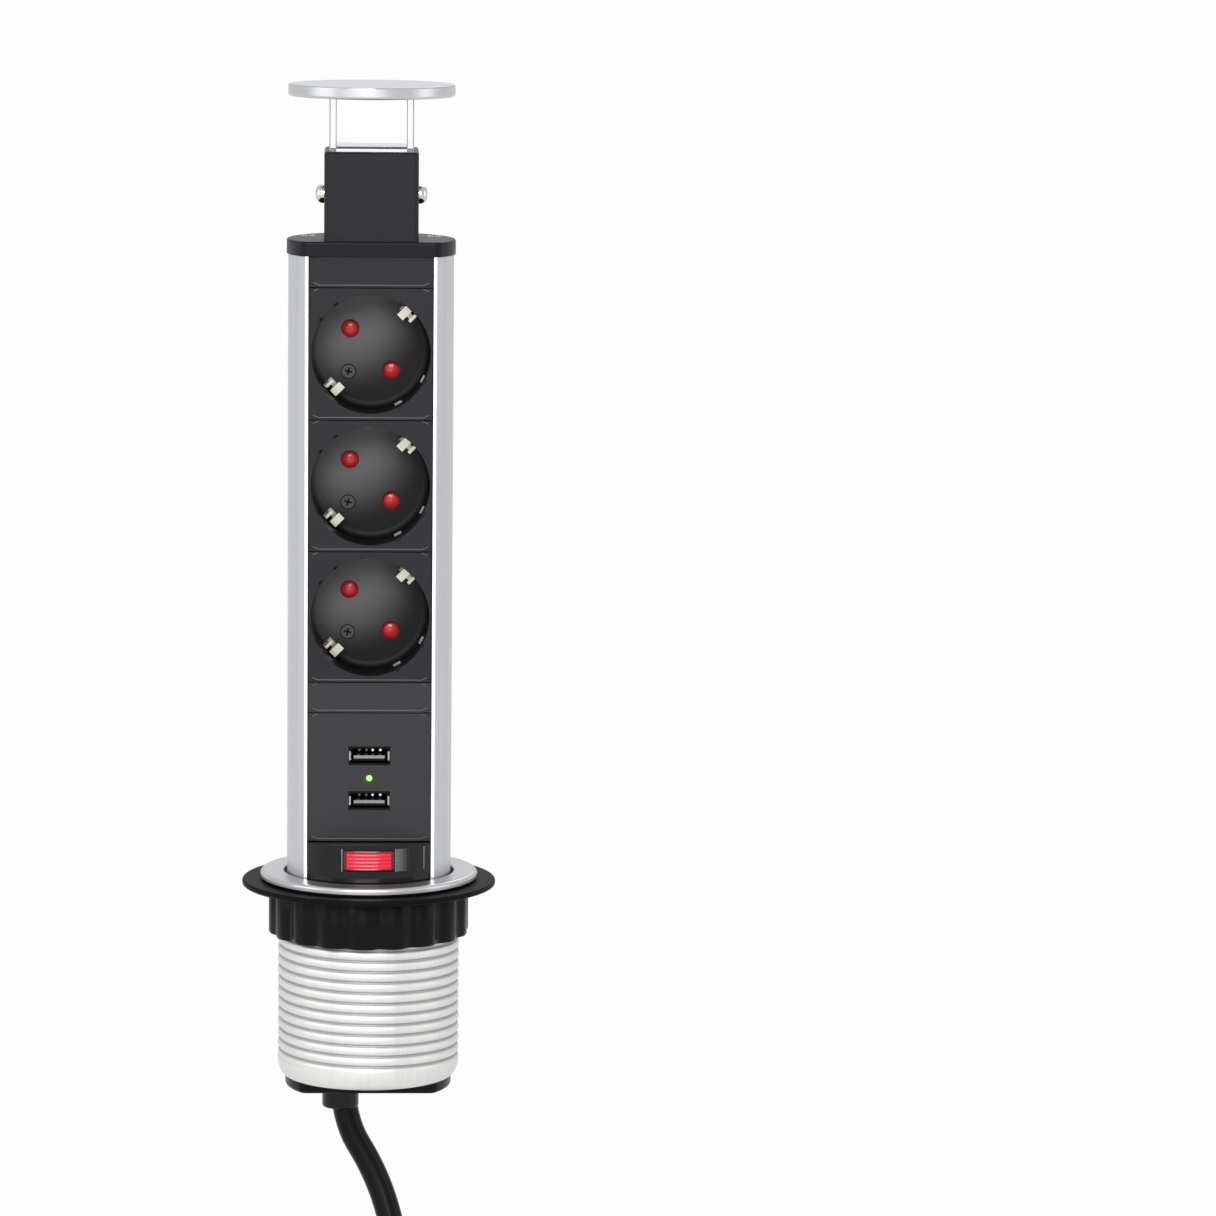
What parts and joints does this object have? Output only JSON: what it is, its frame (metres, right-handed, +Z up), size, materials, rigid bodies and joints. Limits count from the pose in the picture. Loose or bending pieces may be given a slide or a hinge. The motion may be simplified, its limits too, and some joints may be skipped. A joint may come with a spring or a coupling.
{
  "type": "pop up desk socket",
  "caption": "Pop-up desk socket: a sliding aluminium tower with earthed sockets, a USB charger and a press cap, clamped by a nut in a round desk hole.",
  "frame": {"origin": "centre of the desk hole in the plane of the desk's upper face", "axes": "+Z up along the tower, -Y toward the user, whom the sockets face"},
  "size_m": [0.0832, 0.0946, 0.5926],
  "materials": {
    "satin_silver": "satin, fine blasted",
    "silver_sleeve": "satin",
    "black_rubber": "matt",
    "black_washer": "fine grain",
    "black_plastic": "fine grain",
    "black_panel": "fine grain",
    "gloss_black": "gloss",
    "red_plastic": "gloss",
    "clear_plastic": "polished clear plastic",
    "steel": "bright",
    "contact_brass": "bright",
    "nickel_contact": "nickel plated",
    "brown_core": "smooth",
    "blue_core": "smooth",
    "green_core": "smooth",
    "board_green": "smooth",
    "green_light": "lit from behind",
    "yellow_tape": "tape wound",
    "black_cord": "smooth sheath",
    "black_tie": "smooth"
  },
  "bodies": {
    "base": {"flange_ring": "satin_silver", "threaded_sleeve": "silver_sleeve", "guide_liner": "black_plastic", "seal_ring": "black_rubber"},
    "washer": {"clamp_washer": "black_washer"},
    "nut": {"clamp_nut": "black_plastic"},
    "cap": {"cap_disc": "satin_silver", "clear_stem": "clear_plastic", "stem_slider": "black_plastic"},
    "button": {"release_button": "red_plastic"},
    "shutter_1": {"shutter_1": "red_plastic"},
    "shutter_2": {"shutter_2": "red_plastic"},
    "shutter_3": {"shutter_3": "red_plastic"},
    "tower": {"tower_profile": "satin_silver", "top_collar": "black_plastic", "end_screws": "steel", "stem_housing": "black_plastic", "stem_screws": "steel", "stem_nuts": "steel", "spring_bulkhead": "black_plastic", "cap_spring": "steel", "release_spring": "steel", "blank_panel_top": "black_panel", "blank_panel_lower": "black_panel", "usb_panel": "black_panel", "foot_panel": "black_panel", "release_housing": "gloss_black", "foot_cap": "black_plastic", "socket_screws": "steel", "live_rail": "contact_brass", "neutral_rail": "contact_brass", "rail_carrier": "black_plastic", "earth_strap": "nickel_contact", "live_core": "brown_core", "neutral_core": "blue_core", "earth_core": "green_core", "usb_board": "board_green", "usb_port_1": "nickel_contact", "usb_port_2": "nickel_contact", "usb_tongues": "black_plastic", "usb_contacts": "contact_brass", "led_light_pipe": "green_light", "usb_transformer": "yellow_tape", "cord_gland": "black_plastic", "gland_nut": "black_plastic", "cord_free": "black_cord", "cord_hank": "black_cord", "hank_tie": "black_tie", "plug_body": "black_plastic", "plug_pins": "nickel_contact", "plug_earth_contacts": "nickel_contact", "socket_insert_1": "black_panel", "socket_body_1": "black_plastic", "socket_insert_2": "black_panel", "socket_body_2": "black_plastic", "socket_insert_3": "black_panel", "socket_body_3": "black_plastic"}
  },
  "joints": [
    {"name": "tower_slide", "type": "slide", "parent": "base", "child": "tower", "axis": [0, 0, 1], "range_m": [-0.248, 0]},
    {"name": "cap_press", "type": "slide", "parent": "tower", "child": "cap", "axis": [0, 0, 1], "range_m": [-0.0096, 0], "stiffness_N_per_m": 300, "springref_m": 0.01, "deforming": ["cap_spring"]},
    {"name": "release_press", "type": "slide", "parent": "tower", "child": "button", "axis": [0, 1, 0], "range_m": [0, 0.0022], "stiffness_N_per_m": 400, "springref_m": -0.002, "deforming": ["release_spring"]},
    {"name": "washer_slide", "type": "slide", "parent": "base", "child": "washer", "axis": [0, 0, 1], "range_m": [-0.04, 0]},
    {"name": "nut_turn", "type": "hinge", "parent": "washer", "child": "nut", "pos_m": [0, 0, -0.01], "axis": [0, 0, 1], "range_deg": [0, 4116]},
    {"name": "shutter_turn_1", "type": "hinge", "parent": "tower", "child": "shutter_1", "pos_m": [0, 0.0046, 0.1743], "axis": [0, 1, 0], "range_deg": [0, 45], "stiffness_Nm_per_rad": 0.004, "springref_deg": -22.92},
    {"name": "shutter_turn_2", "type": "hinge", "parent": "tower", "child": "shutter_2", "pos_m": [0, 0.0046, 0.1315], "axis": [0, 1, 0], "range_deg": [0, 45], "stiffness_Nm_per_rad": 0.004, "springref_deg": -22.92},
    {"name": "shutter_turn_3", "type": "hinge", "parent": "tower", "child": "shutter_3", "pos_m": [0, 0.0046, 0.0887], "axis": [0, 1, 0], "range_deg": [0, 45], "stiffness_Nm_per_rad": 0.004, "springref_deg": -22.92}
  ],
  "couplings": [
    {"joint": "nut_turn", "follows": "washer_slide", "rad_per_m": -1795.2}
  ]
}
